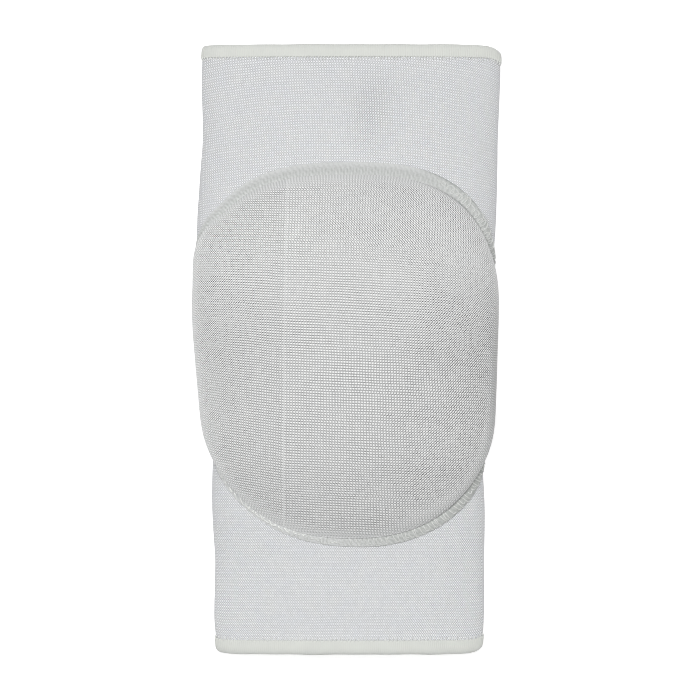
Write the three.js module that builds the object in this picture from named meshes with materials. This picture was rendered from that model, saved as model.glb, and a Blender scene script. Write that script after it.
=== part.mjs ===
import * as THREE from "three";

// A volleyball knee pad in millimetres, lying on its back with the pad on top. +Z is up, +Y points
// to the thigh end, and the origin is on the surface below the middle of the pad.

// sleeve: a knitted tube, open at both ends, that flattens where it lies
const length = 240; // from hem edge to hem edge
const thighWidth = 117;
const kneeWidth = 104.5; // under the pad, where the tube stands tallest
const calfWidth = 105.4;
const crownHeight = 33; // top of the sleeve under the pad
const sleeveWall = 1.8;
const foldRun = 13; // from the side of the tube in to where its underside lies flat
const shoulderShare = 0.36; // height of the tube's widest line, as a share of its height
const easeLength = 22; // in which the underside comes down from a hem to the surface

// hems: a bound edge that wraps each end of the sleeve, inside and outside
const hemHeight = 5.6;
const hemLayer = 1;
const hemFold = 1.2; // past the sleeve's cut edge

// pad: foam under a knitted cover, sewn on by an overlocked band
const padLength = 142.4;
const padArc = 124; // measured over the curve of the sleeve
const padThickness = 20;
const padLow = 2.8; // its middle is this far below the middle of the sleeve
const padSway = 0.6; // and this far to the right
const rimThickness = 1.6;
const bandWidth = 4;
const bandThickness = 1.7;

// clearances
const seamGap = 0.3;
const padGap = 0.5; // under the pad
const bandGap = 0.45; // and under its band

// Sections of the tube from the calf end to the thigh end. along is a share of half the length,
// wide a share of the width named beside it, tall a share of crownHeight, and sway, how far the
// middle leans to the right, a share of half the thigh width.
const sections = [
  { along: -1.0, of: calfWidth, wide: 0.975, tall: 0.54, sway: 0.018 },
  { along: -0.9, of: calfWidth, wide: 1.0, tall: 0.55, sway: 0.019 },
  { along: -0.7, of: calfWidth, wide: 1.0, tall: 0.61, sway: 0.02 },
  { along: -0.52, of: calfWidth, wide: 1.012, tall: 0.74, sway: 0.013 },
  { along: -0.36, of: calfWidth, wide: 1.008, tall: 0.89, sway: 0.005 },
  { along: -0.15, of: kneeWidth, wide: 0.962, tall: 0.98, sway: -0.002 },
  { along: 0.1, of: kneeWidth, wide: 1.0, tall: 1.0, sway: -0.014 },
  { along: 0.3, of: thighWidth, wide: 0.99, tall: 0.95, sway: -0.01 },
  { along: 0.42, of: thighWidth, wide: 1.0, tall: 0.88, sway: 0.0 },
  { along: 0.55, of: thighWidth, wide: 0.996, tall: 0.78, sway: 0.012 },
  { along: 0.7, of: thighWidth, wide: 0.99, tall: 0.68, sway: 0.026 },
  { along: 0.9, of: thighWidth, wide: 1.0, tall: 0.61, sway: 0.03 },
  { along: 1.0, of: thighWidth, wide: 0.98, tall: 0.6, sway: 0.034 },
];

// How far the corners of each hem hang back, left and right, as shares of hemHeight.
const hemDroops = {
  thigh: { left: 0.25, right: 0.85 },
  calf: { left: 0.3, right: 0.45 },
};
const droopPower = 14; // keeps the droop in the corners
const droopStart = 0.75; // and near the ends, from this share of half the length

// The pad's outline over the sleeve is a superellipse, squarest above, with a power for each quarter.
const rimPowers = { upperLeft: 2.75, upperRight: 2.75, lowerRight: 2.28, lowerLeft: 2.02 };

// Its thickness from the middle, 0, to the rim, 1, is (1 - r ^ crownPower) ^ crownRound.
const crownPower = 2.4;
const crownRound = 0.55;

// The band is wider and fuller over the top of the pad than below it, by this share each way.
const bandSwell = 0.18;
const bandProfile = [
  { across: 0, up: 0 },
  { across: 0, up: 0.7 },
  { across: 0.25, up: 1 },
  { across: 0.7, up: 0.9 },
  { across: 1, up: 0.35 },
  { across: 1, up: 0 },
  { across: 0.5, up: 0 },
];

// facets
const sleeveRows = 22;
const ringSteps = [9, 4, 6, 4, 9]; // crown right, fold right, underside, fold left, crown left
const padSegments = 60;
const padRows = 11;

const halfLength = length / 2;
const hemLift = seamGap + hemLayer;
const sleeveEnd = halfLength - hemFold - seamGap;

const sizes = new THREE.CubicInterpolant(
  sections.map((row) => row.along * halfLength),
  sections.flatMap((row) => [
    (row.wide * row.of) / 2,
    row.tall * crownHeight,
    (row.sway * thighWidth) / 2,
  ]),
  3,
  [],
);

function sectionAt(y) {
  const [half, tall, sway] = sizes.evaluate(y);
  const easeFrom = halfLength - hemHeight - easeLength;
  const lift = hemLift * THREE.MathUtils.smoothstep(Math.abs(y), easeFrom, easeFrom + easeLength);
  return { half, tall, sway, lift };
}

// The tube's outer outline, clockwise from the middle of the crown.
function outlineAt(y) {
  const { half, tall, sway, lift } = sectionAt(y);
  const shoulder = lift + (tall - lift) * shoulderShare;
  const flat = half - foldRun;
  const quarter = Math.PI / 2;
  const arc = (x, run, rise, from) =>
    new THREE.EllipseCurve(x, shoulder, run, rise, from, from - quarter, true);
  const outline = new THREE.CurvePath();
  outline.add(arc(sway, half, tall - shoulder, quarter));
  outline.add(arc(sway + flat, foldRun, shoulder - lift, 0));
  const underside = [new THREE.Vector2(sway + flat, lift), new THREE.Vector2(sway - flat, lift)];
  outline.add(new THREE.LineCurve(...underside));
  outline.add(arc(sway - flat, foldRun, shoulder - lift, -quarter));
  outline.add(arc(sway, half, tall - shoulder, Math.PI));
  return outline;
}

// How far a point of the sleeve hangs back from the end that it is near.
function droopAt(x, y) {
  const { half, sway } = sectionAt(y);
  const side = THREE.MathUtils.clamp((x - sway) / half, -1, 1);
  const corners = y > 0 ? hemDroops.thigh : hemDroops.calf;
  const droop = hemHeight * (side > 0 ? corners.right : corners.left);
  const near = THREE.MathUtils.smoothstep(Math.abs(y) / halfLength, droopStart, 1);
  return Math.sign(y) * droop * near * Math.abs(side) ** droopPower;
}

// The point of a curve of the outline at t, moved outwards by offset.
function liftedPoint(curve, t, y, offset) {
  const point = curve.getPoint(t);
  const tangent = curve.getTangent(t);
  return new THREE.Vector3(
    point.x - tangent.y * offset,
    y - droopAt(point.x, y),
    point.y + tangent.x * offset,
  );
}

// One ring of points around the tube.
function ringAt(y, offset) {
  return outlineAt(y).curves.flatMap((curve, index) => {
    const steps = ringSteps[index];
    return Array.from({ length: steps }, (_, step) => liftedPoint(curve, step / steps, y, offset));
  });
}

// The point at a distance over the crown from its middle line, positive to the right.
function pointOver(distance, y, offset) {
  const outline = outlineAt(y);
  const share = distance / outline.getLength();
  return liftedPoint(outline, share < 0 ? share + 1 : share, y, offset);
}

// A closed skin through rows of points. A row of one point is a pole. Where wraps is true, the last
// row joins the first one.
function skin(rows, wraps) {
  const starts = [];
  let count = 0;
  for (const row of rows) {
    starts.push(count);
    count += row.length;
  }
  const columns = Math.max(...rows.map((row) => row.length));
  const at = (row, column) => starts[row] + (column % rows[row].length);
  const index = [];
  for (let row = 0; row < rows.length - (wraps ? 0 : 1); row++) {
    const next = (row + 1) % rows.length;
    for (let column = 0; column < columns; column++) {
      const near = [at(row, column), at(row, column + 1)];
      const far = [at(next, column), at(next, column + 1)];
      if (near[0] !== near[1]) index.push(near[0], near[1], far[1]);
      if (far[0] !== far[1]) index.push(near[0], far[1], far[0]);
    }
  }
  const geometry = new THREE.BufferGeometry().setFromPoints(rows.flat());
  geometry.setIndex(index);
  geometry.computeVertexNormals();
  return geometry;
}

// Both faces of the tube's wall, joined at its cut ends.
function sleeveGeometry() {
  const places = Array.from({ length: sleeveRows + 1 }, (_, row) =>
    THREE.MathUtils.lerp(-sleeveEnd, sleeveEnd, row / sleeveRows),
  );
  const outer = places.map((y) => ringAt(y, 0));
  const inner = places.map((y) => ringAt(y, -sleeveWall)).reverse();
  return skin([...outer, ...inner], true);
}

// A hem's section, from its outer lip round the edge to its inner lip. back is measured from the
// hem's edge, and out from the sleeve's outer face.
function hemGeometry(end) {
  const outside = seamGap + hemLayer;
  const inside = -sleeveWall - seamGap - hemLayer;
  const section = [
    { back: hemHeight, out: seamGap },
    { back: hemHeight, out: outside },
    { back: hemFold, out: outside },
    { back: 0, out: outside - hemFold },
    { back: 0, out: inside + hemFold },
    { back: hemFold, out: inside },
    { back: hemHeight, out: inside },
    { back: hemHeight, out: -sleeveWall - seamGap },
    { back: hemFold, out: -sleeveWall - seamGap },
    { back: hemFold, out: seamGap },
  ];
  const rows = section.map(({ back, out }) => ringAt(end * (halfLength - back), out));
  return skin(end > 0 ? rows : rows.reverse(), true);
}

// The pad's outline at an angle: its reach from the pad's middle, across and along, and the way
// that points out of it.
function rimAt(angle) {
  const across = Math.cos(angle) / (padArc / 2);
  const along = Math.sin(angle) / (padLength / 2);
  const power = rimPowers[(along > 0 ? "upper" : "lower") + (across > 0 ? "Right" : "Left")];
  const reach = (Math.abs(across) ** power + Math.abs(along) ** power) ** (-1 / power);
  const slope = (share, half) => (Math.sign(share) * Math.abs(share * reach) ** (power - 1)) / half;
  return {
    point: new THREE.Vector2(Math.cos(angle), Math.sin(angle)).multiplyScalar(reach),
    outward: new THREE.Vector2(slope(across, padArc / 2), slope(along, padLength / 2)).normalize(),
  };
}

// Rows of the pad and the band run clockwise, seen from above.
const rimAngles = Array.from({ length: padSegments }, (_, step) => -2 * Math.PI * (step / padSegments));

// A place on the pad, lifted off the sleeve by offset.
function overSleeve(place, offset) {
  return pointOver(place.x + padSway, place.y - padLow, offset);
}

// The pad from the middle of its cover to the rim, and back under it. Its rows close up to the rim.
function padGeometry() {
  const shares = Array.from({ length: padRows }, (_, row) =>
    Math.sin(((row + 1) / padRows) * (Math.PI / 2)),
  );
  const heightAt = (share) => {
    const crown = (1 - Math.min(share, 1) ** crownPower) ** crownRound;
    return padGap + THREE.MathUtils.lerp(rimThickness, padThickness, crown);
  };
  const rowAt = (share, offset) =>
    rimAngles.map((angle) => overSleeve(rimAt(angle).point.multiplyScalar(share), offset));
  const middle = new THREE.Vector2(0, 0);
  return skin(
    [
      [overSleeve(middle, padGap + padThickness)],
      ...shares.map((share) => rowAt(share, heightAt(share))),
      ...shares.map((share) => rowAt(share, padGap)).reverse(),
      [overSleeve(middle, padGap)],
    ],
    false,
  );
}

// The band runs round the pad's rim, one row for each corner of its section.
function bandGeometry() {
  const rows = bandProfile.map(({ across, up }) =>
    rimAngles.map((angle) => {
      const { point, outward } = rimAt(angle);
      const swell = 1 + bandSwell * Math.sin(angle);
      const place = point.addScaledVector(outward, seamGap + across * bandWidth * swell);
      return overSleeve(place, bandGap + up * bandThickness * swell);
    }),
  );
  return skin(rows, true);
}

const finish = (color, roughness) => new THREE.MeshStandardMaterial({ color, roughness, metalness: 0 });
const sleeveKnit = finish(0xdcdde0, 0.95);
const hemBinding = finish(0xe4e4de, 0.9);
const padKnit = finish(0xd3d4d3, 0.95);
const seamYarn = finish(0xd6d8d2, 0.9);

function piece(name, geometry, material) {
  const mesh = new THREE.Mesh(geometry, material);
  mesh.name = name;
  return mesh;
}

const kneePad = new THREE.Group();
kneePad.add(
  piece("knit_sleeve", sleeveGeometry(), sleeveKnit),
  piece("thigh_hem", hemGeometry(1), hemBinding),
  piece("calf_hem", hemGeometry(-1), hemBinding),
  piece("knee_pad", padGeometry(), padKnit),
  piece("pad_seam_band", bandGeometry(), seamYarn),
);

export default kneePad;
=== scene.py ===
import math
import random

import bpy
import numpy as np
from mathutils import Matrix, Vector, noise


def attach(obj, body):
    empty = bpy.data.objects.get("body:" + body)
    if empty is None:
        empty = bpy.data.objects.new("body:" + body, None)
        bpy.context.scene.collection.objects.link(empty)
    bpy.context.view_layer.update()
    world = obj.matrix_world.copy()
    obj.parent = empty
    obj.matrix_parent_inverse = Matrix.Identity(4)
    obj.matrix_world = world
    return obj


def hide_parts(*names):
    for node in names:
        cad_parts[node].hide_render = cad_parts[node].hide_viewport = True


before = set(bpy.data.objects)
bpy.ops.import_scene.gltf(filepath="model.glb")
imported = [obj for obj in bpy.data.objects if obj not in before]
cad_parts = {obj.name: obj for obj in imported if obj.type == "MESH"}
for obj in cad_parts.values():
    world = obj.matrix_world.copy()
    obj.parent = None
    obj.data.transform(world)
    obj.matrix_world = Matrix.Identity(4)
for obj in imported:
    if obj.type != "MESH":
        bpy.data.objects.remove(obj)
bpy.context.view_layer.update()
print("frame loaded:", ", ".join(sorted(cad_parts)))

mm = 0.001  # lengths below are in millimetres, and meshes are made in metres
turn = 2 * math.pi


# ---- the tube that everything lies on, the same form as the solid parts ----

tube = {
    "length": 240.0,
    "thighWidth": 117.8,
    "kneeWidth": 104.5,
    "calfWidth": 106.2,
    "crownHeight": 33.0,
    "wall": 1.8,
    "foldRun": 13.0,
    "shoulderShare": 0.36,
    "easeLength": 22.0,
    "hemHeight": 5.6,
    "hemLips": (5.2, 5.8),  # at the thigh and at the calf
    "hemLayer": 1.0,
    "hemFold": 1.2,
    "seamGap": 0.3,
    "droopPower": 22,
    "droopStart": 0.75,
    "thighDroops": (0.02, 0.4),  # left and right corner, shares of hemHeight
    "calfDroops": (0.12, 0.3),
    # along, width named, share of it, share of crownHeight, sway as a share of half thighWidth
    "sections": [
        (-1.0, "calfWidth", 0.975, 0.54, 0.018),
        (-0.9, "calfWidth", 1.0, 0.55, 0.019),
        (-0.7, "calfWidth", 1.0, 0.61, 0.02),
        (-0.52, "calfWidth", 1.012, 0.74, 0.013),
        (-0.36, "calfWidth", 0.995, 0.89, 0.005),
        (-0.15, "kneeWidth", 0.934, 0.98, -0.002),
        (0.1, "kneeWidth", 1.0, 1.0, -0.014),
        (0.3, "thighWidth", 0.99, 0.95, -0.01),
        (0.42, "thighWidth", 1.0, 0.88, 0.0),
        (0.55, "thighWidth", 0.996, 0.78, 0.012),
        (0.7, "thighWidth", 0.99, 0.68, 0.026),
        (0.9, "thighWidth", 1.0, 0.61, 0.03),
        (1.0, "thighWidth", 0.99, 0.6, 0.034),
    ],
    "tableStep": 0.5,  # between the outlines kept in the table
    "tableColumns": 900,
}
halfLength = tube["length"] / 2
sleeveEnd = halfLength - tube["hemFold"] - tube["seamGap"]
hemLines = [halfLength - lip for lip in tube["hemLips"]]


def smooth(value, low, high):
    share = np.clip((value - low) / (high - low), 0, 1)
    return share * share * (3 - 2 * share)


def throughSections(y):
    places = np.array([row[0] for row in tube["sections"]]) * halfLength
    sizes = np.array([
        (tube[row[1]] * row[2] / 2, tube["crownHeight"] * row[3], tube["thighWidth"] * row[4] / 2)
        for row in tube["sections"]
    ])
    last = len(places) - 1
    here = np.clip(np.searchsorted(places, y, side="right") - 1, 0, last - 1)
    start, end = places[here], places[here + 1]
    before = np.where(here > 0, here - 1, here + 1)
    after = np.where(here + 2 <= last, here + 2, here)
    backWeight = ((end - start) / 2 / (start - places[before]))[..., None]
    nextWeight = ((end - start) / 2 / (places[after] - end))[..., None]
    t = np.clip((y - start) / (end - start), 0, 1)[..., None]
    return (
        (-backWeight * t**3 + 2 * backWeight * t**2 - backWeight * t) * sizes[before]
        + ((1 + backWeight) * t**3 - (1.5 + 2 * backWeight) * t**2 + (backWeight - 0.5) * t + 1)
        * sizes[here]
        + (-(1 + nextWeight) * t**3 + (1.5 + nextWeight) * t**2 + 0.5 * t) * sizes[here + 1]
        + (nextWeight * t**3 - nextWeight * t**2) * sizes[after]
    )


def outlineAt(y):
    half, tall, sway = throughSections(np.array([y]))[0]
    easeFrom = halfLength - tube["hemHeight"] - tube["easeLength"]
    hemLift = tube["seamGap"] + tube["hemLayer"]
    lift = hemLift * float(smooth(abs(y), easeFrom, easeFrom + tube["easeLength"]))
    shoulder = lift + (tall - lift) * tube["shoulderShare"]
    flat = half - tube["foldRun"]

    def arc(x, run, rise, start, steps):
        angle = start - np.linspace(0, math.pi / 2, steps)[:-1]
        return np.stack([x + run * np.cos(angle), shoulder + rise * np.sin(angle)], -1)

    loop = np.concatenate([
        arc(sway, half, tall - shoulder, math.pi / 2, 700),
        arc(sway + flat, tube["foldRun"], shoulder - lift, 0, 200),
        np.stack([np.linspace(sway + flat, sway - flat, 60)[:-1], np.full(59, lift)], -1),
        arc(sway - flat, tube["foldRun"], shoulder - lift, -math.pi / 2, 200),
        arc(sway, half, tall - shoulder, math.pi, 700),
        [(sway, tall)],
    ])
    run = np.concatenate([[0], np.cumsum(np.linalg.norm(np.diff(loop, axis=0), axis=1))])
    even = np.linspace(0, run[-1], tube["tableColumns"] + 1)
    outline = np.stack([np.interp(even, run, loop[:, 0]), np.interp(even, run, loop[:, 1])], -1)
    ahead = np.roll(outline[:-1], -1, axis=0) - np.roll(outline[:-1], 1, axis=0)
    ahead /= np.linalg.norm(ahead, axis=1)[:, None]
    normal = np.stack([-ahead[:, 1], ahead[:, 0]], -1)
    return np.concatenate([outline, np.concatenate([normal, normal[:1]])], 1), run[-1]


tableRows = int(tube["length"] / tube["tableStep"]) + 1
tableY = np.linspace(-halfLength, halfLength, tableRows)
outlines = [outlineAt(y) for y in tableY]
tubeTable = np.array([outline for outline, _ in outlines])
tubeAround = np.array([around for _, around in outlines])


def overTube(distance, y, offset):
    # distance is measured round the tube from the crown's middle, positive to the right
    distance, y, offset = np.broadcast_arrays(*(np.asarray(v, float) for v in (distance, y, offset)))
    row = np.clip((y + halfLength) / tube["tableStep"], 0, tableRows - 1.001)
    share = (distance / np.interp(y, tableY, tubeAround)) % 1
    column = share * tube["tableColumns"]
    row0, column0 = row.astype(int), column.astype(int) % tube["tableColumns"]
    down, right = (row - row0)[..., None], (column - column.astype(int))[..., None]
    found = (
        tubeTable[row0, column0] * (1 - down) * (1 - right)
        + tubeTable[row0, column0 + 1] * (1 - down) * right
        + tubeTable[row0 + 1, column0] * down * (1 - right)
        + tubeTable[row0 + 1, column0 + 1] * down * right
    )
    sized = throughSections(y)
    side = np.clip((found[..., 0] - sized[..., 2]) / sized[..., 0], -1, 1)
    corners = np.where(
        (y > 0)[..., None], np.array(tube["thighDroops"]), np.array(tube["calfDroops"])
    )
    droop = tube["hemHeight"] * np.where(side > 0, corners[..., 1], corners[..., 0])
    droop = droop * smooth(np.abs(y) / halfLength, tube["droopStart"], 1)
    return np.stack([
        found[..., 0] + found[..., 2] * offset,
        y - np.sign(y) * droop * np.abs(side) ** tube["droopPower"],
        found[..., 1] + found[..., 3] * offset,
    ], -1)


# ---- meshes ----

def ringFaces(rows, columns, wrapRows=False):
    # quads between rows of points that each close on themselves
    row = np.arange(rows if wrapRows else rows - 1)[:, None]
    column = np.arange(columns)[None, :]
    nextRow, nextColumn = (row + 1) % rows, (column + 1) % columns
    return np.stack([
        row * columns + column,
        row * columns + nextColumn,
        nextRow * columns + nextColumn,
        nextRow * columns + column,
    ], -1).reshape(-1, 4)


def makePiece(name, points, faces, material, corners=None, marks=None):
    # corners: UV maps with one place for each corner of each face; marks: one number for each point
    mesh = bpy.data.meshes.new(name)
    mesh.from_pydata((np.asarray(points).reshape(-1, 3) * mm).tolist(), [], [list(f) for f in faces])
    for mapName, places in (corners or {}).items():
        layer = mesh.uv_layers.new(name=mapName)
        layer.uv.foreach_set("vector", np.asarray(places, np.float32).ravel())
    for markName, values in (marks or {}).items():
        mark = mesh.attributes.new(markName, "FLOAT", "POINT")
        mark.data.foreach_set("value", np.asarray(values, np.float32).ravel())
    mesh.shade_smooth()
    mesh.materials.append(material)
    piece = bpy.data.objects.new(name, mesh)
    bpy.context.scene.collection.objects.link(piece)
    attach(piece, "root")
    return piece


def strands(paths, ups, radius, sides=6):
    # round yarns, one along each row of points; ups points away from the cloth
    ahead = np.gradient(paths, axis=1)
    ahead /= np.linalg.norm(ahead, axis=2)[..., None]
    across = np.cross(ahead, ups)
    across /= np.linalg.norm(across, axis=2)[..., None]
    up = np.cross(across, ahead)
    angle = np.arange(sides) / sides * turn
    radius = np.broadcast_to(radius, paths.shape[:2])[..., None, None]
    rings = paths[:, :, None] + radius * (
        np.cos(angle)[:, None] * up[:, :, None] + np.sin(angle)[:, None] * across[:, :, None]
    )
    count, steps = paths.shape[:2]
    one = ringFaces(steps, sides)
    starts = np.arange(count) * steps * sides
    faces = [tuple(f) for f in (one[None] + starts[:, None, None]).reshape(-1, 4)]
    for start in starts:
        faces.append(tuple(int(start) + k for k in reversed(range(sides))))
        faces.append(tuple(int(start) + (steps - 1) * sides + k for k in range(sides)))
    return rings.reshape(-1, 3), [f[::-1] for f in faces]


def waver(points, size, seed):
    # soft uneven noise from -1 to 1, with hills about size millimetres across
    shift = Vector((seed * 17.3, seed * 5.1, seed * 9.7))
    return np.array([noise.noise(Vector(p) / size + shift) for p in points.reshape(-1, 3)])


# ---- materials ----

class Nodes:
    # short calls for the nodes of one material
    def __init__(self, name):
        self.material = bpy.data.materials.new(name)
        self.material.use_nodes = True
        self.tree = self.material.node_tree
        self.shader = self.tree.nodes["Principled BSDF"]

    def add(self, kind, **settings):
        node = self.tree.nodes.new(kind)
        for key, value in settings.items():
            setattr(node, key, value)
        return node

    def join(self, source, socket):
        if isinstance(source, bpy.types.NodeSocket):
            self.tree.links.new(source, socket)
        else:
            socket.default_value = source

    def math(self, operation, *values):
        node = self.add("ShaderNodeMath", operation=operation)
        for value, socket in zip(values, node.inputs):
            self.join(value, socket)
        return node.outputs[0]

    def vector(self, operation, *values):
        node = self.add("ShaderNodeVectorMath", operation=operation)
        for value, socket in zip(values, node.inputs):
            self.join(value, socket)
        return node.outputs[0]

    def split(self, source):
        node = self.add("ShaderNodeSeparateXYZ")
        self.join(source, node.inputs[0])
        return node.outputs

    def mapUv(self, name):
        return self.add("ShaderNodeUVMap", uv_map=name).outputs[0]

    def mark(self, name):
        return self.add("ShaderNodeAttribute", attribute_name=name).outputs["Fac"]

    def noise(self, where, scale, detail=2.0):
        node = self.add("ShaderNodeTexNoise")
        self.join(where, node.inputs["Vector"])
        node.inputs["Scale"].default_value = scale
        node.inputs["Detail"].default_value = detail
        return node.outputs

    def mix(self, share, first, second):
        node = self.add("ShaderNodeMix", data_type="RGBA")
        self.join(share, node.inputs[0])
        self.join(first, node.inputs[6])
        self.join(second, node.inputs[7])
        return node.outputs[2]

    def grey(self, value):
        node = self.add("ShaderNodeCombineXYZ")
        for socket in node.inputs:
            self.join(value, socket)
        return node.outputs[0]

    def wave(self, phase):
        return self.math("COSINE", self.math("MULTIPLY", phase, turn))

    def bump(self, height, distance, strength=1.0):
        node = self.add("ShaderNodeBump")
        self.join(height, node.inputs["Height"])
        node.inputs["Distance"].default_value = distance * mm
        node.inputs["Strength"].default_value = strength
        self.tree.links.new(node.outputs[0], self.shader.inputs["Normal"])


def colour(red, green, blue):
    # from the screen's 0 to 255 to light
    return tuple((v / 255 / 12.92 if v < 10.3 else ((v / 255 + 0.055) / 1.055) ** 2.4)
                 for v in (red, green, blue)) + (1.0,)


def knitMaterial(name, look):
    # four marks on the mesh say how strong its rows, columns and both slants are
    n = Nodes(name)
    place = n.mapUv("knit")
    drift = n.noise(place, look["driftScale"], 2)[1]
    drift = n.vector("MULTIPLY", n.vector("SUBTRACT", drift, (0.5, 0.5, 0.5)), (look["drift"],) * 3)
    stitch = n.vector("ADD", place, drift)
    u, v, _ = n.split(stitch)
    jog = n.add("ShaderNodeTexWhiteNoise", noise_dimensions="1D")
    n.join(n.math("FLOOR", n.math("ADD", v, 0.5)), jog.inputs["W"])
    u = n.math("MULTIPLY_ADD", n.math("SUBTRACT", jog.outputs[0], 0.5), look["jog"], u)
    cell = n.vector("FLOOR", n.vector("ADD", stitch, (0.5, 0.5, 0.0)))
    random3 = n.add("ShaderNodeTexWhiteNoise", noise_dimensions="2D")
    n.join(cell, random3.inputs["Vector"])
    patches = n.noise(place, look["patchScale"], 2)[1]
    patches = n.split(n.vector("MULTIPLY_ADD", patches, (1.3,) * 3, (0.35,) * 3))
    half = n.math("MULTIPLY", v, 0.5)
    aside = n.math("SUBTRACT", u, 0.25)  # so that every second row lies a little aside
    waves = [
        (v, n.math("MULTIPLY", n.mark("level"), patches[0])),
        (u, n.mark("upright")),
        (n.math("ADD", u, v), n.math("MULTIPLY", n.mark("leanLeft"), patches[1])),
        (n.math("SUBTRACT", u, v), n.math("MULTIPLY", n.mark("leanRight"), patches[2])),
        (n.math("SUBTRACT", aside, half), look["stagger"][0]),
        (n.math("ADD", aside, half), look["stagger"][1]),
        (half, look["stagger"][2]),
    ]
    total = 0.0
    for phase, strength in waves:
        total = n.math("MULTIPLY_ADD", n.wave(phase), strength, total)
    random3 = random3.outputs[0]
    uneven = n.math("MULTIPLY_ADD", random3, look["uneven"], 1 - look["uneven"] / 2)
    total = n.math("MULTIPLY", total, uneven)
    odd = n.math("FRACT", n.math("MULTIPLY", random3, 7.31))
    total = n.math("ADD", total, n.math("MULTIPLY_ADD", odd, look["odd"], -look["odd"] / 2))
    calm = n.math("SUBTRACT", 1.0, n.mark("calm"))
    total = n.math("MULTIPLY", total, calm)
    if "foldColumn" in look:  # one pale upright column
        off = n.math("MULTIPLY", n.math("SUBTRACT", u, look["foldColumn"]), look["foldTight"])
        line = n.math("EXPONENT", n.math("MULTIPLY", n.math("MULTIPLY", off, off), -1.0))
        line = n.math("MULTIPLY", line, n.mark("fold"))
        total = n.math("MULTIPLY", total, n.math("MULTIPLY_ADD", line, -0.5, 1.0))
    mottle = n.noise(place, look["mottleScale"], 3)[0]
    mottled = n.mix(mottle, look["tintOne"], look["tintTwo"])
    shade = n.math("MULTIPLY_ADD", total, look["contrast"], 1.0)
    if "foldColumn" in look:
        shade = n.math("ADD", shade, n.math("MULTIPLY", line, look["foldPale"]))
    if "ribs" in look:  # where the cover is drawn in at its rim
        ribs = n.wave(n.split(n.mapUv("rim"))[0])
        ribs = n.math("MULTIPLY", ribs, n.mark("calm"))
        shade = n.math("MULTIPLY_ADD", ribs, look["ribs"], shade)
    if "holes" in look:  # painted shade in the needle holes beside the hems
        paintedHoleShade = n.math("MULTIPLY_ADD", n.wave(n.split(n.mapUv("round"))[0]), 0.5, 0.5)
        paintedHoleShade = n.math("MULTIPLY", n.math("MULTIPLY", paintedHoleShade, n.mark("hemLine")), look["holes"])
        shade = n.math("SUBTRACT", shade, paintedHoleShade)
    # the mark dark holds painted shade, painted light where it is negative, and the sleeve's soft darker
    # patches
    shade = n.math("SUBTRACT", shade, n.mark("dark"))
    shade = n.math("MINIMUM", n.math("MAXIMUM", shade, look["darkest"]), look["palest"])
    n.tree.links.new(n.vector("MULTIPLY", mottled, n.grey(shade)), n.shader.inputs["Base Color"])
    rough = n.math("MULTIPLY_ADD", total, -0.08, look["rough"])
    n.tree.links.new(rough, n.shader.inputs["Roughness"])
    n.shader.inputs["Specular IOR Level"].default_value = look["specular"]
    n.shader.inputs["Sheen Weight"].default_value = look["sheen"]
    n.shader.inputs["Sheen Roughness"].default_value = 0.5
    n.bump(total, look["relief"])
    return n.material


# ---- stage ----

stage = {
    "cameraHeight": 2400.0,
    "frameWidth": 274.96,  # what 700 pixels span at the height of the silhouette
    "silhouetteHeight": 16.0,
    "middle": (1.37, -0.2),
    "floorSize": 9000.0,
    "floorGlow": 0.42,
    "keyPlace": (-140.0, 350.0, 3300.0),
    "keySize": 2200.0,
    "keyPower": 119.5,
    "sky": 0.36,
    "horizon": 1.0,
}


def makeStage():
    scene = bpy.context.scene
    lens = bpy.data.cameras.new("view_camera")
    lens.sensor_width = 36
    away = stage["cameraHeight"] - stage["silhouetteHeight"]
    lens.lens = lens.sensor_width * away / stage["frameWidth"]
    lens.clip_start, lens.clip_end = 0.1, 20
    camera = bpy.data.objects.new("view_camera", lens)
    camera.location = Vector((*stage["middle"], stage["cameraHeight"])) * mm
    scene.collection.objects.link(camera)
    scene.camera = camera

    n = Nodes("floor_paper")
    n.shader.inputs["Base Color"].default_value = (0.9, 0.9, 0.9, 1)
    n.shader.inputs["Roughness"].default_value = 0.9
    n.shader.inputs["Specular IOR Level"].default_value = 0.1
    n.shader.inputs["Emission Color"].default_value = (1, 1, 1, 1)
    n.shader.inputs["Emission Strength"].default_value = stage["floorGlow"]
    half = stage["floorSize"] / 2 * mm
    mesh = bpy.data.meshes.new("floor")
    under = -0.0003
    mesh.from_pydata(
        [(-half, -half, under), (half, -half, under), (half, half, under), (-half, half, under)],
        [], [(0, 1, 2, 3)],
    )
    mesh.materials.append(n.material)
    floor = bpy.data.objects.new("floor", mesh)
    scene.collection.objects.link(floor)

    key = bpy.data.lights.new("key_softbox", "AREA")
    key.size = stage["keySize"] * mm
    key.energy = stage["keyPower"]
    box = bpy.data.objects.new("key_softbox", key)
    box.location = Vector(stage["keyPlace"]) * mm
    box.rotation_euler = (-box.location).to_track_quat("-Z", "Y").to_euler()
    scene.collection.objects.link(box)

    world = bpy.data.worlds.new("pale_room")
    world.use_nodes = True
    tree = world.node_tree
    where = tree.nodes.new("ShaderNodeTexCoord")
    height = tree.nodes.new("ShaderNodeSeparateXYZ")
    fade = tree.nodes.new("ShaderNodeMapRange")  # pale low down, dimmer overhead
    fade.interpolation_type = "SMOOTHSTEP"
    for value, socket in zip((0.06, 0.3, stage["horizon"], stage["sky"]), fade.inputs[1:5]):
        socket.default_value = value
    tree.links.new(where.outputs["Generated"], height.inputs[0])
    tree.links.new(height.outputs[2], fade.inputs[0])
    tree.links.new(fade.outputs[0], tree.nodes["Background"].inputs[1])
    scene.world = world
    scene.view_settings.view_transform = "Standard"
    scene.view_settings.look = "None"
    scene.view_settings.exposure = 0
    scene.view_settings.gamma = 1
    # so that the fine knit isn't smoothed away
    scene.cycles.denoising_prefilter = "NONE"
    scene.cycles.filter_width = 1.0
    print("stage ready")


makeStage()


# ---- sleeve ----

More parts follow.
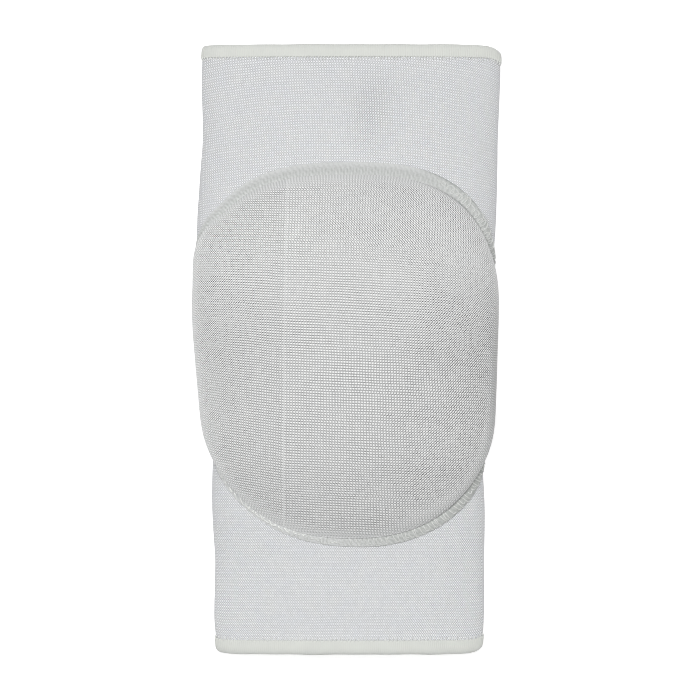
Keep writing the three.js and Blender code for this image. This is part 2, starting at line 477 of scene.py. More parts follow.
sleeve = {
    "rows": 170,
    "columns": 200,
    "insideRows": 60,
    "needles": 264,  # columns of stitches round the tube
    "hemStitches": (193, 148),  # round the thigh end and round the calf end
    "rowHeight": 1.0,
    "calfRowHeight": 1.1,
    "ripple": 0.16,  # height of its soft unevenness
    # soft darker patches on the upper face: middle, half size and depth of tone
    "dimPlaces": [(9, 93, 8, 13, 0.075), (15, 103, 9, 6, 0.03), (30, 60, 12, 9, 0.02)],
    "look": {
        "contrast": 0.8, "uneven": 0.5, "odd": 0.08, "stagger": (0.05, 0.05, 0.02), "jog": 0.12,
        "darkest": 0.2, "palest": 1.42, "holes": 0.16, "patchScale": 0.06,
        "drift": 0.75, "driftScale": 0.11, "mottleScale": 0.16,
        "tintOne": (0.65, 0.664, 0.698, 1), "tintTwo": (0.69, 0.694, 0.688, 1),
        "rough": 0.92, "specular": 0.25, "sheen": 0.08, "relief": 0.04,
    },
}


def knitPlace(distance, y):
    # stitch counts round and along the tube; the rows arch over the thigh end and lean with it
    column = distance * sleeve["needles"] / np.interp(y, tableY, tubeAround)
    upper = smooth(y, 10, 75)
    arch = (0.0016 * distance**2 + 0.0255 * distance) * upper
    lean = 0.0015 * np.clip(41 - distance, 0, 100) * (y - 60) * upper
    column = column * np.interp(y, [-90, 60], [0.935, 1])
    rowHeight = np.interp(y, [-90, 60], [sleeve["calfRowHeight"], sleeve["rowHeight"]])
    return np.stack([column + lean, (y + arch) / rowHeight], -1)


def makeSleeve():
    close = np.array([-1.3, -1.0, -0.75, -0.5, -0.3, -0.1, 0.15, 0.4, 0.8])
    rows = np.linspace(-sleeveEnd, sleeveEnd, sleeve["rows"])
    rows = rows[(rows < hemLines[0] - 1.6) & (rows > 1.6 - hemLines[1])]
    rows = np.sort(np.concatenate([rows, hemLines[0] + close, -hemLines[1] - close]))
    inside = np.linspace(sleeveEnd, -sleeveEnd, sleeve["insideRows"])
    y = np.concatenate([rows, inside])
    offset = np.concatenate([np.zeros(len(rows)), np.full(len(inside), -tube["wall"])])
    share = np.arange(sleeve["columns"]) / sleeve["columns"] + 0.5
    share = (share + 0.5) % 1 - 0.5  # from the back's middle round to it again
    around = np.interp(y, tableY, tubeAround)
    distance = share[None, :] * around[:, None]
    points = overTube(distance, y[:, None], offset[:, None])
    ripple = waver(points, 26, 3).reshape(len(y), -1) + 0.5 * waver(points, 9, 8).reshape(len(y), -1)
    outside = (offset == 0)[:, None]
    free = 1 - smooth(np.abs(y), sleeveEnd - 12, sleeveEnd - 5)[:, None]
    low = smooth(points[..., 2], 1.0, 5.0)
    offsets = offset[:, None] + (ripple * sleeve["ripple"] - sleeve["ripple"] * 0.7) * outside * free * low
    points = overTube(distance, y[:, None], offsets)
    faces = ringFaces(len(y), sleeve["columns"], True)
    # the seam of the map lies along the back
    column = np.stack([np.arange(sleeve["columns"]), np.arange(sleeve["columns"]) + 1], -1)
    cornerShare = column / sleeve["columns"] - 0.5
    row = np.arange(len(y))
    nextRow = (row + 1) % len(y)
    cornerY = np.stack([y[row], y[row], y[nextRow], y[nextRow]], -1)[:, None, :]
    cornerS = np.stack([cornerShare[:, 0], cornerShare[:, 1], cornerShare[:, 1], cornerShare[:, 0]], -1)
    cornerD = cornerS[None] * np.interp(cornerY, tableY, tubeAround)
    cornerY = np.broadcast_to(cornerY, cornerD.shape)
    knit = knitPlace(cornerD, cornerY)
    cornerS = np.broadcast_to(cornerS[None], cornerD.shape)
    stitches = np.where(cornerY > 0, sleeve["hemStitches"][0], sleeve["hemStitches"][1])
    besideHem = np.stack([cornerS * stitches, cornerY], -1)
    dim = np.zeros(points.shape[:2])
    for x, along, wide, tall, depth in sleeve["dimPlaces"]:
        far = ((points[..., 0] - x) / wide) ** 2 + ((points[..., 1] - along) / tall) ** 2
        dim += depth * np.exp(-far) * (points[..., 2] > 6)
    fromHem = np.where(y > 0, hemLines[0] - y, hemLines[1] + y)
    upper = smooth(points[..., 1], -40, 60)
    outer = smooth(np.abs(points[..., 0]), 10, 40)
    margin = smooth(points[..., 0], 36, 52) * upper
    marks = {
        # dark: the soft darker patches, less a little painted light towards the calf end
        "dark": dim - 0.02 * smooth(-points[..., 1], 20, 90),
        # hemLine: where the painted shade in the needle holes lies, fainter at the calf end
        "hemLine": np.broadcast_to(
            (np.where(y > 0, 1, 0.4) * (1 - smooth(np.abs(fromHem - 0.3), 0.15, 0.5)))[:, None],
            points.shape[:2],
        ),
        "level": (0.09 + 0.05 * upper) * (1 - 0.25 * margin),
        "upright": (0.05 + 0.08 * upper) * (1 - 0.6 * margin) + 0.8 * dim,
        "leanLeft": 0.17 + 0.07 * outer * (1 - upper) + 1.2 * dim,
        "leanRight": 0.1 + 0.06 * upper + 0.08 * smooth(points[..., 0], 20, 45) * (1 - upper)
            + 1.3 * dim,
    }
    marks["calm"] = np.zeros(points.shape[:2])
    material = knitMaterial("sleeve_knit", sleeve["look"])
    piece = makePiece("knitted_sleeve", points, faces, material, {"knit": knit, "round": besideHem}, marks)
    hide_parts("knit_sleeve")
    return piece


sleevePiece = makeSleeve()
print("sleeve made")


# ---- hems ----

hem = {
    "columns": 1080,
    "ribs": 270,
    "ribHeight": 0.02,
    "edgeWave": 0.3,
    "gap": 0.1,
    "layer": 0.5,
    "lightTone": (0.76, 0.775, 0.73, 1),
    # darkTone is the hem's darker tone, and also the painted shade along its free edge
    "darkTone": (0.68, 0.695, 0.664, 1),
}


def makeHemMaterial():
    n = Nodes("hem_binding")
    u, v, _ = n.split(n.mapUv("knit"))
    ribs = n.wave(u)
    cloudy = n.noise(n.mapUv("knit"), 0.12, 3)[0]
    share = n.math("MULTIPLY_ADD", ribs, 0.06, cloudy)
    # the mark edge adds painted shade along the hem's turned free edge
    share = n.math("ADD", share, n.mark("edge"))
    tone = n.mix(share, hem["lightTone"], hem["darkTone"])
    n.tree.links.new(tone, n.shader.inputs["Base Color"])
    fine = n.noise(n.mapUv("knit"), 2.5, 3)[0]
    n.bump(n.math("MULTIPLY_ADD", fine, 0.5, ribs), 0.025)
    n.tree.links.new(n.math("MULTIPLY_ADD", fine, 0.1, 0.8), n.shader.inputs["Roughness"])
    n.shader.inputs["Specular IOR Level"].default_value = 0.25
    n.shader.inputs["Sheen Weight"].default_value = 0.05
    return n.material


hemMaterial = makeHemMaterial()


def hemProfile(height):
    # back from the free edge and out from the sleeve's face, round the fold with even steps
    gap, layer, fold, wall = hem["gap"], hem["layer"], tube["hemFold"], tube["wall"]
    outside, inside = gap + layer, -wall - gap - layer
    middle, reach = (outside + inside) / 2, (outside - inside) / 2
    turned = [
        (fold + 0.6 - (fold + 0.6) * math.sin(a), middle + reach * math.cos(a))
        for a in np.linspace(0, math.pi, 13)
    ]
    back = np.linspace(height - 0.35, fold + 1.2, 7)
    outer = [(b, outside + 0.12 * math.sin((height - b) / height * math.pi)) for b in back]
    inner = [(b, inside) for b in back[::-1]]
    lip = [(height, gap), (height, gap + 0.15), (height - 0.15, outside - 0.1)]
    innerLip = [(height, inside + 0.3), (height, -wall - gap)]
    under = [(fold, -wall - gap), (fold, gap)]
    return lip + outer + turned + inner + innerLip + under


def makeHem(name, end, node):
    profile = np.array(hemProfile(tube["hemLips"][0 if end > 0 else 1]))
    share = np.arange(hem["columns"]) / hem["columns"] - 0.5
    back = profile[:, 0][:, None]
    y = end * (halfLength - back)
    distance = share[None, :] * np.interp(y, tableY, tubeAround)
    rib = np.cos(share * hem["ribs"] * turn)[None, :] * hem["ribHeight"]
    showing = (profile[:, 1] > hem["gap"] + 0.3) | (back[:, 0] < tube["hemFold"])
    points = overTube(distance, y, profile[:, 1][:, None] + (rib - hem["ribHeight"]) * showing[:, None])
    edge = 1 - smooth(back, 0.0, 2.6)
    sway = sum(np.sin(share * turn * k + p) for k, p in ((5, 0.4), (9, 2.0), (14, 4.1))) / 3
    points[..., 1] -= end * edge * (0.5 + 0.5 * sway)[None, :] * hem["edgeWave"]
    faces = ringFaces(len(profile), hem["columns"], True)
    if end < 0:
        faces = faces[:, ::-1]
    flat = np.stack(np.broadcast_arrays(share[None, :] * hem["ribs"], back * 1.0), -1)
    knit = flat.reshape(-1, 2)[faces]
    wrapped = np.abs(knit[:, :, 0].max(1) - knit[:, :, 0].min(1)) > hem["ribs"] / 2
    knit[wrapped, :, 0] = np.where(knit[wrapped, :, 0] < 0, knit[wrapped, :, 0] + hem["ribs"],
                                   knit[wrapped, :, 0])
    # painted shade along the turned free edge
    paintedFoldShade = np.broadcast_to(0.5 * edge, points.shape[:2])
    piece = makePiece(name, points, faces, hemMaterial, {"knit": knit}, {"edge": paintedFoldShade})
    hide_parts(node)
    return piece


hemPieces = [
    makeHem("thigh_hem_binding", 1, "thigh_hem"),
    makeHem("calf_hem_binding", -1, "calf_hem"),
]
print("hems made")


# ---- pad ----

pad = {
    "length": 142.4,
    "arc": 124.0,
    "thickness": 20.0,
    "low": 2.8,
    "sway": 0.6,
    "rimThickness": 1.6,
    "gap": 0.5,
    "rimPowers": {"upperLeft": 2.9, "upperRight": 2.75, "lowerRight": 2.3, "lowerLeft": 2.25},
    "taper": 0.05,  # narrower by this share below the middle
    "shoulder": (142, 14, 0.043),  # degrees, half width and share by which the rim goes further out
    "crownPower": (3.0, 2.4),  # at the ends and at the sides
    "crownRound": (0.9, 0.55),
    "sideFrom": (0.3, 0.9),  # where the ends pass into the sides, as the angle's cosine
    "columns": 400,
    "rows": 84,
    "undersideRows": 10,
    "stitchWidth": 1.085,
    "stitchSpread": 0.0009,  # wider by this for each millimetre down
    "rowSpread": (0.000024, 0.000008),  # rows further apart towards the lower and the upper end
    "stitchHeight": 1.02,
    "foldPlace": -24.2,  # the pale upright line in the knit
    "ribWidth": 1.15,
    # angle in degrees, how far in from the rim the knit fades, how much, and the painted shade in the
    # crease by the rim, painted light where it is negative
    "rim": [
        (-180, 3.0, 0.5, 0.0), (-150, 3.5, 0.5, 0.0), (-125, 5.0, 0.8, -0.1), (-100, 4.5, 0.7, -0.2),
        (-80, 5.0, 0.65, -0.2), (-65, 8.0, 0.7, 0.0), (-50, 7.0, 0.8, 0.4), (-30, 6.0, 0.85, 0.5),
        (-15, 4.6, 0.9, 0.4), (0, 4.2, 0.85, 0.4), (28, 3.0, 0.7, 0.45), (48, 3.0, 0.8, 0.4),
        (62, 3.5, 0.7, 0.2), (72, 4.5, 0.9, 0.0), (112, 5.0, 1.0, 0.0), (138, 3.8, 0.85, 0.0),
        (180, 3.0, 0.5, 0.0),
    ],
    # angle in degrees, how far in from the outline the painted shade reaches, and how much darker it gets:
    # painted shade where the side turns away from the light, painted light where it is negative
    "shade": [
        (-180, 10, -0.1), (-150, 10, -0.1), (-125, 8, -0.1), (-100, 7, -0.05), (-80, 6, 0.0),
        (-65, 6, 0.11), (-50, 6, 0.2), (-35, 5, 0.34), (-20, 4.4, 0.42), (0, 4.2, 0.4),
        (14, 4.5, 0.28), (28, 5, 0.06), (48, 5, 0.0), (120, 6, 0.0), (150, 8, -0.04), (180, 10, -0.1),
    ],
    "look": {
        "contrast": 0.95, "uneven": 0.45, "odd": 0.1, "stagger": (0.08, 0.06, 0.02), "jog": 0.22,
        "darkest": 0.1, "palest": 1.55, "ribs": 0.15, "patchScale": 0.06,
        "foldColumn": -22.5, "foldTight": 3.0, "foldPale": 0.16,
        "drift": 0.6, "driftScale": 0.1, "mottleScale": 0.14,
        "tintOne": (0.64, 0.65, 0.655, 1), "tintTwo": (0.678, 0.68, 0.672, 1),
        "rough": 0.92, "specular": 0.25, "sheen": 0.2, "relief": 0.06,
    },
}


def rimAt(angle):
    across = np.cos(angle) / (pad["arc"] / 2)
    along = np.sin(angle) / (pad["length"] / 2)
    powers = pad["rimPowers"]
    power = np.where(
        along > 0,
        np.where(across > 0, powers["upperRight"], powers["upperLeft"]),
        np.where(across > 0, powers["lowerRight"], powers["lowerLeft"]),
    )
    across = across / (1 - pad["taper"] * smooth(-along * 60, 0, 24))
    reach = (np.abs(across) ** power + np.abs(along) ** power) ** (-1 / power)
    place, half, share = pad["shoulder"]
    further = 1 + share * (1 - smooth(np.abs(np.degrees(angle) % 360 - place), 0, half))
    slopeAcross = np.sign(across) * np.abs(across * reach) ** (power - 1) / (pad["arc"] / 2)
    slopeAlong = np.sign(along) * np.abs(along * reach) ** (power - 1) / (pad["length"] / 2)
    outward = np.stack([slopeAcross, slopeAlong], -1)
    outward /= np.linalg.norm(outward, axis=-1)[..., None]
    reach = reach * further
    return np.stack([np.cos(angle) * reach, np.sin(angle) * reach], -1), outward


def overSleeve(place, offset):
    return overTube(place[..., 0] + pad["sway"], place[..., 1] - pad["low"], offset)


def padHeight(share, angle):
    side = smooth(np.abs(np.cos(angle)), *pad["sideFrom"])
    power = pad["crownPower"][0] + (pad["crownPower"][1] - pad["crownPower"][0]) * side
    bend = pad["crownRound"][0] + (pad["crownRound"][1] - pad["crownRound"][0]) * side
    crown = (1 - np.minimum(share, 1) ** power) ** bend
    return pad["gap"] + pad["rimThickness"] + (pad["thickness"] - pad["rimThickness"]) * crown


def makePad():
    angle = -np.arange(pad["columns"]) / pad["columns"] * turn
    rim, outward = rimAt(angle)
    share = np.sin(np.arange(1, pad["rows"] + 1) / pad["rows"] * math.pi / 2)
    under = share[:: -(pad["rows"] // pad["undersideRows"])]
    placeTop = rim[None] * share[:, None, None]
    placeUnder = rim[None] * under[:, None, None]
    top = overSleeve(placeTop, padHeight(share[:, None], angle[None, :]))
    bottom = overSleeve(placeUnder, pad["gap"])
    middle = np.zeros((1, 2))
    points = np.concatenate([
        overSleeve(middle, padHeight(np.zeros(1), np.zeros(1))),
        top.reshape(-1, 3),
        bottom.reshape(-1, 3),
        overSleeve(middle, pad["gap"]),
    ])
    places = np.concatenate([middle, placeTop.reshape(-1, 2), placeUnder.reshape(-1, 2), middle])
    shares = np.concatenate([[0], np.repeat(share, len(angle)), np.repeat(under, len(angle)), [0]])
    ring = ringFaces(len(share) + len(under), len(angle)) + 1
    faces = [tuple(f) for f in ring]
    last = len(points) - 1
    for k in range(len(angle)):
        following = (k + 1) % len(angle)
        faces.append((0, 1 + following, 1 + k))
        faces.append((last, last - len(angle) + k, last - len(angle) + following))

    # the cover's knit follows the crown: lengths along it, not across it
    grid = 1.0
    xs = np.arange(-70, 70 + grid, grid)
    ys = np.arange(-80, 80 + grid, grid)
    gx, gy = np.meshgrid(xs, ys)
    radius = np.hypot(gx, gy) + 1e-6
    gridAngle = np.arctan2(gy, gx)
    reach, _ = rimAt(gridAngle)
    gridShare = np.clip(radius / np.linalg.norm(reach, axis=-1), 0, 0.975)
    surface = overSleeve(np.stack([gx, gy], -1), padHeight(gridShare, gridAngle))
    stepX = np.linalg.norm(np.diff(surface, axis=1), axis=-1)
    stepY = np.linalg.norm(np.diff(surface, axis=0), axis=-1)
    lengthX = np.concatenate([np.zeros((len(ys), 1)), np.cumsum(stepX, axis=1)], 1)
    lengthY = np.concatenate([np.zeros((1, len(xs))), np.cumsum(stepY, axis=0)], 0)
    lengthX -= lengthX[:, [int(70 / grid)]]
    lengthY -= lengthY[[int(80 / grid)], :]

    def onGrid(values, place):
        column = np.clip((place[..., 0] + 70) / grid, 0, len(xs) - 1.001)
        row = np.clip((place[..., 1] + 80) / grid, 0, len(ys) - 1.001)
        c, r = column.astype(int), row.astype(int)
        fc, fr = column - c, row - r
        return (
            values[r, c] * (1 - fr) * (1 - fc) + values[r, c + 1] * (1 - fr) * fc
            + values[r + 1, c] * fr * (1 - fc) + values[r + 1, c + 1] * fr * fc
        )

    centre = points[0]
    x = (onGrid(lengthX, places) + points[:, 0] - centre[0]) / 2
    y = (onGrid(lengthY, places) + points[:, 1] - centre[1]) / 2
    leftOfFold = np.minimum(x - pad["foldPlace"], 0)
    wider = pad["stitchSpread"] * np.maximum(-y, 0)
    column = x + 0.08 * leftOfFold + 0.035 * smooth(y, 0, 30) * np.clip(x, -16, 24)
    column = column / (pad["stitchWidth"] + wider)
    spread = np.where(y < 0, *pad["rowSpread"])
    row = y - spread * y**3 / 3 + 0.000012 * x**2 * np.maximum(y, 0) + 0.047 * x
    row = row + (0.06 + 0.05 * smooth(-y, 0, 45) - 0.03 * smooth(y, 0, 20)) * leftOfFold
    row = row / pad["stitchHeight"]
    corners = np.stack([column, row], -1)
    pointAngle = np.concatenate([[0], np.tile(angle, len(share) + len(under)), [0]])
    degrees = (np.degrees(pointAngle) + 180) % 360 - 180
    table = np.array(pad["rim"]).T
    inward = (1 - shares) * np.linalg.norm(rimAt(pointAngle)[0], axis=-1)
    levels = np.linspace(points[:, 1].min(), points[:, 1].max(), 150)
    beside = [points[np.abs(points[:, 1] - level) < 1.2, 0] for level in levels]
    rightEdge = np.interp(points[:, 1], levels, [found.max() for found in beside])
    leftEdge = np.interp(points[:, 1], levels, [found.min() for found in beside])
    inward = np.minimum(inward, np.minimum(rightEdge - points[:, 0], points[:, 0] - leftEdge))
    width = np.interp(degrees, table[0], table[1])
    calm = (1 - smooth(inward, 0.2 * width, width)) * np.interp(degrees, table[0], table[2])
    # painted shade in the crease between the pad and the band, painted light where negative
    paintedCreaseShade = np.interp(degrees, table[0], table[3])
    paintedCreaseShade = paintedCreaseShade * (1 - smooth((1 - shares) * 65, 0.2, 0.9))
    # painted shade on the steep right side and painted light along the left edge
    table = np.array(pad["shade"]).T
    shade = 1 - smooth(inward / np.interp(degrees, table[0], table[1]), 0.1, 1)
    shade = shade * np.interp(degrees, table[0], table[2])
    around = np.linalg.norm(np.diff(overSleeve(np.concatenate([rim, rim[:1]]), 0), axis=0), axis=1)
    around = np.concatenate([[0], np.cumsum(around)])
    ribCount = round(around[-1] / pad["ribWidth"])
    ribPlace = around / around[-1] * ribCount
    cornerRib = np.stack([ribPlace[:-1], ribPlace[1:], ribPlace[1:], ribPlace[:-1]], -1)
    rows = len(share) + len(under) - 1
    ringRibs = np.stack([np.tile(cornerRib, (rows, 1)).ravel(), np.zeros(rows * len(angle) * 4)], -1)
    ribs = np.concatenate([ringRibs, np.zeros((6 * len(angle), 2))])
    px, py = places[:, 0], places[:, 1]
    top, left, right = smooth(py, 26, 52), smooth(-px, 10, 50), smooth(px, 0, 50)
    marks = {
        "calm": calm,
        # dark here is all painted: shade in the rim crease, at the steep sides, left of the fold and in the
        # middle; painted light where negative, on both sides, the lower right, the upper left and the lower
        # end
        "dark": paintedCreaseShade + shade + 0.04 * smooth(-x - 24, -0.6, 0.8) - 0.05 * right - 0.05 * left
            - 0.09 * smooth(px, 10, 40) * smooth(-py, 5, 40)
            + 0.03 * (1 - smooth(np.hypot(px, py), 15, 45)) - 0.045 * smooth(py - px, 45, 80)
            - 0.03 * smooth(-py, 35, 60),
        "fold": 0.6 + 0.4 * smooth(-py, -10, 45),
        "level": 0.38 * (1 - 0.8 * top * smooth(px, -40, 10)) * (1 - 0.45 * smooth(-px, 35, 55))
            * (1 - 0.55 * smooth(px, 22, 46) * smooth(py, 8, 28)),
        "upright": 0.08 + 0.15 * top + 0.16 * smooth(-py, -20, 10) * (0.5 + 1.4 * smooth(px, -20, 40))
            + 0.1 * smooth(px, 20, 42) * smooth(py, -8, 15),
        "leanLeft": 0.16 + top * (0.1 + 0.26 * smooth(px, -30, 20)) + 0.18 * left
            + 0.3 * smooth(px, 10, 40) * smooth(py, -12, 20) * (1 - top) + 0.12 * smooth(-py, 5, 45),
        "leanRight": 0.17 + 0.36 * left * (1 - smooth(-py, 0, 45)) * (1 - 0.7 * top)
            + 0.1 * smooth(-px, 35, 52) * smooth(py, -10, 20) + 0.72 * right * smooth(-py, -45, -5),
    }
    loops = np.concatenate([np.array(f) for f in faces])
    material = knitMaterial("pad_knit", pad["look"])
    piece = makePiece("pad_cover", points, faces, material, {"knit": corners[loops], "rim": ribs}, marks)
    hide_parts("knee_pad")
    return piece


padPiece = makePad()
print("pad made")


# ---- seam band ----

band = {
    "width": 4.0,
    "thickness": 1.7,
    "swell": 0.18,
    "gap": 0.45,
    "seat": 0.05,  # from the pad's rim to the band
    "columns": 1496,
    "ribs": 374,
    "ribHeight": 0.05,
    "rollFrom": (58, 74),  # degrees, where the stitched band passes into the plain roll
    "rollTo": (150, 168),
    "flatFrom": (65, 125),  # degrees below the right side, where the band lies flat
    "flatTo": (160, 178),
    # across the band from the pad outwards, then its height where it is stitched, a roll, and flat
    "section": [
        (0.0, 0.1, 0.75, 0.7), (0.02, 0.3, 0.84, 0.75), (0.1, 0.58, 0.9, 0.74),
        (0.24, 0.73, 0.88, 0.6), (0.42, 0.77, 0.78, 0.42), (0.6, 0.75, 0.62, 0.27),
        (0.77, 0.7, 0.42, 0.15), (0.9, 0.55, 0.22, 0.06), (0.97, 0.28, 0.08, 0.01),
        (1.0, 0.05, 0.02, 0.0),
    ],
    # angle in degrees and share of the width
    "widths": [
        (-180, 0.8), (-160, 0.85), (-145, 0.75), (-125, 0.55), (-100, 0.8), (-80, 1.05),
        (-30, 1.12), (0, 1), (95, 1), (135, 0.82), (160, 0.75), (180, 0.8),
    ],
    # angle in degrees and strength of the slanted strokes of its yarn
    "strokes": [
        (-180, 0), (-130, 0), (-110, 0.15), (-90, 0.22), (-75, 0.27), (-25, 0.27), (0, 0.22),
        (30, 0.22), (62, 0.15), (80, 0.14), (160, 0.14), (180, 0),
    ],
    # angle in degrees and depth of the groove between pad and band, from 0 to 1
    "groove": [
        (-180, 0), (-105, 0), (-85, 0.05), (-70, 0.3), (-50, 0.8), (30, 1), (52, 0.9), (68, 0),
        (180, 0),
    ],
    # the band's own tones, mixed by marks that also hold painted light and shade
    "deepTone": (0.46, 0.475, 0.46, 1),
    "paleTone": (0.69, 0.7, 0.695, 1),
    "yarnDeep": (0.6, 0.615, 0.6, 1),
    "yarnPale": (0.8, 0.81, 0.79, 1),
    # start and end in degrees, loop length, curl, reach across, yarn radius, unevenness, paleness,
    # how far every other crossing lies sunk, and the middle's place across
    "loops": [
        (64, -25, 2.2, 0.42, 0.34, 0.25, 1.2, 0.4, 0.4, 0.5),
        (-25, -108, 1.6, 0.25, 0.36, 0.25, 2.0, 0.55, 0.9, 0.5),
        (-104, -208, 2.1, 0.0, 0.24, 0.25, 2.2, 1.08, 1.3, 0.4),
        (-110, -200, 2.9, 0.0, 0.2, 0.23, 2.4, 0.95, 1.3, 0.6),
    ],
    "loopSteps": 16,  # points in each loop
    # angle in degrees and the painted shadow along the band's outer edge
    "outerEdgeShadow": [
        (-180, 0), (-70, 0), (-50, 0.25), (-30, 0.4), (40, 0.4), (62, 0.25), (72, 0), (180, 0),
    ],
    # angle in degrees, how much paler the whole band is, and its outer edge: painted light where the band
    # slopes away from the lamp, painted shade where it is negative
    "paler": [
        (-180, 0.14, 0.04), (-150, 0.16, 0.04), (-115, 0.12, 0.08), (-90, 0.0, 0.22), (-70, 0.0, 0.4),
        (-50, 0.0, 0.1), (-30, -0.03, 0.0), (0, -0.22, 0.0), (14, -0.26, 0.0), (24, -0.22, 0.0),
        (36, -0.1, 0.03), (50, 0.0, 0.1), (100, 0.0, 0.08),
        (150, 0.06, 0.08), (180, 0.14, 0.04),
    ],
}


def rollShare(angle):
    degrees = np.degrees(angle) % 360
    return smooth(degrees, *band["rollFrom"]) * (1 - smooth(degrees, *band["rollTo"]))


def bandHeight(angle, across):
    table = np.array(band["section"]).T
    stitched = np.interp(across, table[0], table[1])
    rolled = np.interp(across, table[0], table[2])
    groove = np.array(band["groove"]).T
    degrees = (np.degrees(angle) + 180) % 360 - 180
    filled = 0.84 * (1 - np.interp(degrees, groove[0], groove[1])) * (across < 0.35)
    stitched = np.maximum(stitched, filled)
    flat = smooth(-degrees, *band["flatFrom"]) * (1 - smooth(-degrees, *band["flatTo"]))
    height = stitched + (rolled - stitched) * rollShare(angle)
    return height + (np.interp(across, table[0], table[3]) - height) * flat


def bandPlace(angle, across, up):
    point, outward = rimAt(angle)
    swell = 1 + band["swell"] * np.sin(angle)
    table = np.array(band["widths"]).T
    width = band["width"] * swell * np.interp((np.degrees(angle) + 180) % 360 - 180, *table)
    reach = band["seat"] + across * (width + tube["seamGap"] - band["seat"])
    place = point + outward * reach[..., None]
    gap = band["gap"] - (band["gap"] - 0.12) * smooth(across, 0.5, 1)
    return overSleeve(place, gap + up * band["thickness"] * swell)


def makeYarnMaterial(name, deep, pale, cloud):
    # ribs run across the band and strokes slant over it; the mark pale mixes the tones, and on the band the
    # marks dark and paler add painted shade and painted light
    n = Nodes(name)
    place = n.mapUv("knit")
    cloudy = n.noise(place, cloud, 3)[0]
    share = n.math("ADD", n.mark("pale"), n.math("MULTIPLY_ADD", cloudy, 0.9, -0.45))
    share = n.math("MULTIPLY_ADD", n.wave(n.split(place)[0]), n.mark("ribs"), share)
    bent = n.math("MULTIPLY_ADD", n.noise(place, 0.6, 2)[0], 3.5, n.split(place)[1])
    slanted = n.wave(n.math("MULTIPLY_ADD", n.split(place)[0], 0.62, n.math("MULTIPLY", bent, 0.4)))
    share = n.math("MULTIPLY_ADD", slanted, n.mark("strokes"), share)
    share = n.math("SUBTRACT", share, n.mark("dark"))
    lit = n.grey(n.math("ADD", 1.0, n.mark("paler")))
    tone = n.vector("MULTIPLY", n.mix(share, deep, pale), lit)
    n.tree.links.new(tone, n.shader.inputs["Base Color"])
    n.shader.inputs["Roughness"].default_value = 0.9
    n.shader.inputs["Specular IOR Level"].default_value = 0.25
    n.shader.inputs["Sheen Weight"].default_value = 0.08
    n.bump(n.noise(place, 3.0, 3)[0], 0.05)
    return n.material


bandMaterial = makeYarnMaterial("seam_band", band["deepTone"], band["paleTone"], 1.6)
yarnMaterial = makeYarnMaterial("seam_yarn", band["yarnDeep"], band["yarnPale"], 1.5)


def makeBand():
    columns = np.arange(band["columns"])
    angle = -columns / band["columns"] * turn
    across = np.array([row[0] for row in band["section"]])
    across = np.concatenate([[0], across, [1, 0.5]])[:, None] * np.ones(len(angle))
    up = bandHeight(angle[None, :], across)
    up[[0, -2, -1]] = 0
    rib = np.cos(columns / band["columns"] * band["ribs"] * turn) * band["ribHeight"]
    inner = 1 - smooth(across, 0.3, 0.75)
    roll = rollShare(angle)
    up = up + rib * inner * (up > 0) * (0.2 + 0.8 * roll) / band["thickness"]
    reach = across - 0.08 * roll * (across < 0.05) * (up > 0)
    points = bandPlace(np.broadcast_to(angle, across.shape), reach, up)
    faces = ringFaces(len(across), len(angle), True)
    places = columns * band["ribs"] / band["columns"]
    flat = np.stack(np.broadcast_arrays(places[None, :], across * band["width"]), -1)
    knit = flat.reshape(-1, 2)[faces]
    wrapped = np.ptp(knit[:, :, 0], axis=1) > band["ribs"] / 2
    knit[wrapped, :, 0] += np.where(knit[wrapped, :, 0] < band["ribs"] / 2, band["ribs"], 0)
    table = np.array(band["outerEdgeShadow"]).T
    degrees = (np.degrees(angle) + 180) % 360 - 180
    # painted shadow along the band's outer edge
    line = np.interp(degrees, table[0], table[1])[None, :] * smooth(across, 0.86, 0.97)
    table = np.array(band["paler"]).T
    whole = np.interp(degrees, table[0], table[1])[None, :]
    edge = np.interp(degrees, table[0], table[2])[None, :] * smooth(across, 0.55, 0.95)
    marks = {
        # paler: painted light and painted shade by angle
        "paler": whole + edge,
        # pale: the roll's paler outer half and the lower left are the yarn's own tone; paler at the bottom
        # is painted light, darker at the right is painted shade
        "pale": 0.42 + 0.58 * roll * smooth(across, 0.3, 1)
            + (0.25 + 0.6 * smooth(across, 0.4, 0.8)) * smooth(-np.sin(angle) - np.cos(angle), 0.6, 1.2)
            + 0.22 * smooth(-np.sin(angle), 0.7, 1) - 0.5 * smooth(np.cos(angle) - np.sin(angle), 0.8, 1.3),
        "ribs": 0.18 * inner * roll,
        "strokes": np.interp(degrees, *np.array(band["strokes"]).T) * (across > -1),
        # dark: the painted shadow along the outer edge
        "dark": 2.5 * line,
    }
    piece = makePiece("seam_band", points, faces, bandMaterial, {"knit": knit}, marks)
    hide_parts("pad_seam_band")
    return piece


bandPiece = makeBand()
print("seam band made")


def strandPiece(name, paths, ups, radius, pale, sides=6):
    points, faces = strands(paths, ups, radius, sides)
    steps = np.arange(paths.shape[1])[:, None] * 0.3 + np.zeros(sides)
    flat = np.stack(np.broadcast_arrays(
        steps[None] + np.arange(len(paths))[:, None, None] * 7.3, np.arange(sides) * 0.3
    ), -1).reshape(-1, 2)
    loops = np.concatenate([np.array(f) for f in faces])
    marks = {
        "pale": np.full(len(points), min(pale, 1)),
        "paler": np.full(len(points), max(pale - 1, 0)),
    }
    piece = makePiece(name, points, faces, yarnMaterial, {"knit": flat[loops]}, marks)
    return piece


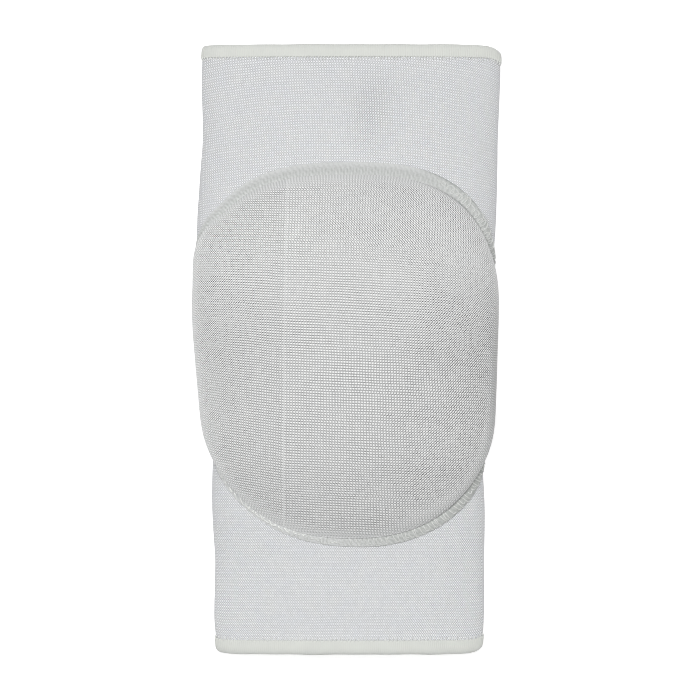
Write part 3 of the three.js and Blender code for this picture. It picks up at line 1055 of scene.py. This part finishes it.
def makeLoops():
    # overlock yarn that runs to and fro across the band
    angles = np.radians(np.linspace(90, -270, 2401))
    middle = bandPlace(angles, np.full(len(angles), 0.5), np.zeros(len(angles)))
    run = np.concatenate([[0], np.cumsum(np.linalg.norm(np.diff(middle, axis=0), axis=1))])
    draw = random.Random(5)
    for number, row in enumerate(band["loops"]):
        start, end, length, curl, reach, radius, uneven, pale, sunk, centre = row
        first, last = (np.interp(-math.radians(a), -angles, run) for a in (start, end))
        count = int((last - first) / length)
        t = np.arange(count * band["loopSteps"] + 1) / band["loopSteps"]
        jitter = np.array([[draw.uniform(-1, 1) for _ in range(3)] for _ in range(count + 2)])
        near = np.stack([np.interp(t, np.arange(count + 2), jitter[:, k]) for k in range(3)], -1)
        phase = t * turn
        along = first + length * (t + curl * np.sin(phase) + 0.3 * uneven * near[:, 0])
        reach = reach * smooth(t, -2, 6 if number == 0 else 0)
        across = centre + reach * np.cos(phase) * (1 + 0.5 * uneven * near[:, 1]) + 0.08 * near[:, 2]
        across = np.clip(across, 0.08, 0.94)
        angle = -np.interp(along, run, -angles)
        up = bandHeight(angle, across)
        path = bandPlace(angle, across, up)
        lift = bandPlace(angle, across, up + 1) - path
        lift /= np.linalg.norm(lift, axis=1)[:, None]
        path = path + lift * radius * (0.7 + sunk * (np.sin(phase)[:, None] - 1))
        strandPiece(f"overlock_loops_{number + 1}", path[None], lift[None], radius, pale)


makeLoops()
print("overlock loops made")


def makeHemStitches(name, end):
    # short stitches that hold the hem's lip down on the sleeve
    number = 0 if end > 0 else 1
    count = sleeve["hemStitches"][number]
    draw = random.Random(11)
    share = (np.arange(count) + 0.5) / count - 0.5
    share = share + np.array([draw.uniform(-0.07, 0.07) for _ in share]) / count
    outside = hem["gap"] + hem["layer"]
    back = tube["hemLips"][number] + np.array([-0.45, -0.2, 0.1, 0.4, 0.75, 1.05])
    lift = np.array([outside - 0.15, outside, outside - 0.1, 0.34, 0.18, 0.0])
    lean = np.linspace(-0.25, 0.25, len(back))
    y = end * (halfLength - back)
    around = np.interp(y, tableY, tubeAround)
    distance = share[:, None] * around[None, :] + lean[None, :]
    paths = overTube(distance, y[None, :], lift[None, :])
    ups = overTube(distance, y[None, :], lift[None, :] + 1) - paths
    return strandPiece(name, paths, ups, 0.19, 1.0, 5)


hemStitches = [makeHemStitches("thigh_hem_stitches", 1), makeHemStitches("calf_hem_stitches", -1)]
print("hem stitches made")
